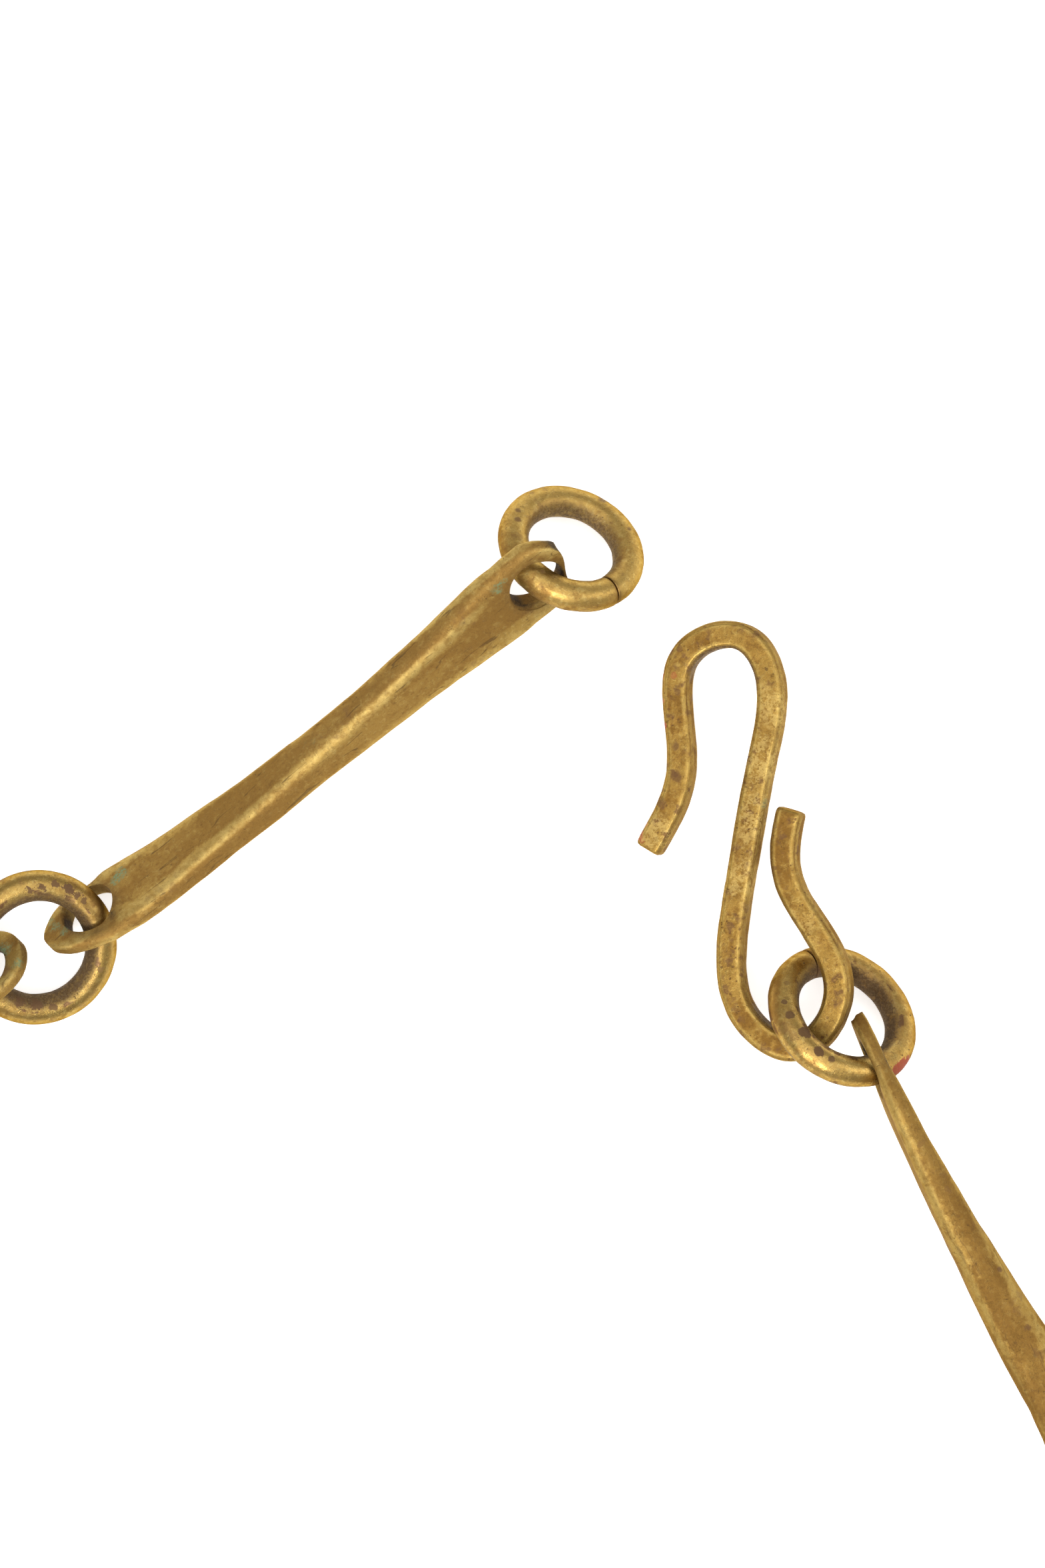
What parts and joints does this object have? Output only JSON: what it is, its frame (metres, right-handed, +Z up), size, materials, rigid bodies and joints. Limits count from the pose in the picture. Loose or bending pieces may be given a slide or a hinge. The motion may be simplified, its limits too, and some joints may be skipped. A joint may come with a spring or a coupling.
{
  "type": "bar-link chain with s-hook",
  "caption": "Forged brass bar-link chain laid as an open loop: flat-ended links with crossed holes joined by round-wire rings, an S-hook at one end and a free ring at the other.",
  "frame": {"origin": "centre of the bottom of the laid-out chain's bounding box, on the surface it lies on", "axes": "+Z up from the surface; +Y along the loop's length towards the two free ends; +X across the loop, towards the side of the S-hook's chain half"},
  "size_m": [0.2536, 0.3524, 0.0161],
  "materials": {
    "rings": "aged, mottled and finely pitted",
    "links": "hammered, aged, edges rubbed bright",
    "hook": "dull aged brass with rubbed chamfers"
  },
  "bodies": {
    "ring_00": {"ring_00": "rings"},
    "link_01": {"link_01": "links"},
    "ring_01": {"ring_01": "rings"},
    "link_02": {"link_02": "links"},
    "ring_02": {"ring_02": "rings"},
    "link_03": {"link_03": "links"},
    "ring_03": {"ring_03": "rings"},
    "link_04": {"link_04": "links"},
    "ring_04": {"ring_04": "rings"},
    "link_05": {"link_05": "links"},
    "ring_05": {"ring_05": "rings"},
    "link_06": {"link_06": "links"},
    "ring_06": {"ring_06": "rings"},
    "link_07": {"link_07": "links"},
    "ring_07": {"ring_07": "rings"},
    "link_08": {"link_08": "links"},
    "ring_08": {"ring_08": "rings"},
    "link_09": {"link_09": "links"},
    "ring_09": {"ring_09": "rings"},
    "link_10": {"link_10": "links"},
    "ring_10": {"ring_10": "rings"},
    "link_11": {"link_11": "links"},
    "ring_11": {"ring_11": "rings"},
    "s_hook": {"s_hook": "hook"}
  },
  "joints": [
    {"name": "ring_05_swing", "type": "hinge", "parent": "link_06", "child": "ring_05", "pos_m": [-0.07969, -0.13789, 0.00369], "axis": [0.3438, 0.8489, -0.4015], "range_deg": [-75, 0]},
    {"name": "link_05_turn", "type": "hinge", "parent": "ring_05", "child": "link_05", "pos_m": [-0.08595, -0.13484, 0.00479], "axis": [0.3057, 0.3031, 0.9026], "range_deg": [0, 60]},
    {"name": "ring_04_swing", "type": "hinge", "parent": "link_05", "child": "ring_04", "pos_m": [-0.11542, -0.07306, 0.00496], "axis": [-0.8322, -0.4339, -0.3452], "range_deg": [-75, 75]},
    {"name": "link_04_turn", "type": "hinge", "parent": "ring_04", "child": "link_04", "pos_m": [-0.11844, -0.06672, 0.00428], "axis": [0.3519, 0.0678, -0.9336], "range_deg": [-60, 0]},
    {"name": "ring_03_swing", "type": "hinge", "parent": "link_04", "child": "ring_03", "pos_m": [-0.11402, 0.00164, 0.00373], "axis": [0.9339, -0.0296, -0.3563], "range_deg": [-75, 75]},
    {"name": "link_03_turn", "type": "hinge", "parent": "ring_03", "child": "link_03", "pos_m": [-0.11357, 0.00865, 0.00433], "axis": [0.3517, -0.1032, 0.9304], "range_deg": [0, 60]},
    {"name": "ring_02_swing", "type": "hinge", "parent": "link_03", "child": "ring_02", "pos_m": [-0.08035, 0.06858, 0.00454], "axis": [-0.8319, 0.4403, -0.3378], "range_deg": [-75, 75]},
    {"name": "link_02_turn", "type": "hinge", "parent": "ring_02", "child": "link_02", "pos_m": [-0.07694, 0.07473, 0.00416], "axis": [0.2713, -0.2082, -0.9397], "range_deg": [-60, 45]},
    {"name": "ring_01_swing", "type": "hinge", "parent": "link_02", "child": "ring_01", "pos_m": [-0.02806, 0.12193, 0.00445], "axis": [0.4429, -0.8411, -0.3104], "range_deg": [-75, 75]},
    {"name": "link_01_turn", "type": "hinge", "parent": "ring_01", "child": "link_01", "pos_m": [-0.02191, 0.12534, 0.00399], "axis": [0.2054, -0.2418, 0.9483], "range_deg": [-4, 80]},
    {"name": "ring_00_swing", "type": "hinge", "parent": "link_01", "child": "ring_00", "pos_m": [0.03247, 0.16605, 0.0101], "axis": [-0.7075, 0.6632, -0.2443], "range_deg": [-80, 80]},
    {"name": "ring_06_swing", "type": "hinge", "parent": "link_06", "child": "ring_06", "pos_m": [-0.02444, -0.16484, 0.00539], "axis": [-0.4552, -0.8201, -0.3468], "range_deg": [-75, 75]},
    {"name": "link_07_turn", "type": "hinge", "parent": "ring_06", "child": "link_07", "pos_m": [-0.01816, -0.1679, 0.00439], "axis": [-0.0343, -0.373, 0.9272], "range_deg": [-60, 2]},
    {"name": "ring_07_swing", "type": "hinge", "parent": "link_07", "child": "ring_07", "pos_m": [0.04781, -0.14961, 0.00392], "axis": [-0.2031, 0.8934, -0.4007], "range_deg": [-45, 75]},
    {"name": "link_08_turn", "type": "hinge", "parent": "ring_07", "child": "link_08", "pos_m": [0.05456, -0.14773, 0.00467], "axis": [0.202, -0.3622, -0.91], "range_deg": [-30, 60]},
    {"name": "ring_08_swing", "type": "hinge", "parent": "link_08", "child": "ring_08", "pos_m": [0.10482, -0.1012, 0.00537], "axis": [0.6003, -0.7202, -0.3478], "range_deg": [-75, 75]},
    {"name": "link_09_turn", "type": "hinge", "parent": "ring_08", "child": "link_09", "pos_m": [0.10994, -0.09645, 0.00439], "axis": [0.3342, -0.1692, 0.9272], "range_deg": [-60, 30]},
    {"name": "ring_09_swing", "type": "hinge", "parent": "link_09", "child": "ring_09", "pos_m": [0.11769, -0.02843, 0.00385], "axis": [-0.9238, 0.13, -0.3601], "range_deg": [-75, 75]},
    {"name": "link_10_turn", "type": "hinge", "parent": "ring_09", "child": "link_10", "pos_m": [0.11849, -0.02144, 0.00433], "axis": [0.3658, 0.0224, -0.9304], "range_deg": [-30, 60]},
    {"name": "ring_10_swing", "type": "hinge", "parent": "link_10", "child": "ring_10", "pos_m": [0.10255, 0.04494, 0.00955], "axis": [0.4965, -0.0768, -0.8646], "range_deg": [-75, 75]},
    {"name": "link_11_turn", "type": "hinge", "parent": "ring_10", "child": "link_11", "pos_m": [0.10094, 0.05163, 0.00803], "axis": [0.8375, 0.304, 0.454], "range_deg": [-60, 30]},
    {"name": "ring_11_swing", "type": "hinge", "parent": "link_11", "child": "ring_11", "pos_m": [0.07072, 0.11252, 0.00818], "axis": [-0.6939, -0.3598, 0.6237], "range_deg": [-5, 30]},
    {"name": "s_hook_turn", "type": "hinge", "parent": "ring_11", "child": "s_hook", "pos_m": [0.06642, 0.11784, 0.00647], "axis": [0.3838, 0.5481, 0.7431], "range_deg": [-75, 18]}
  ]
}
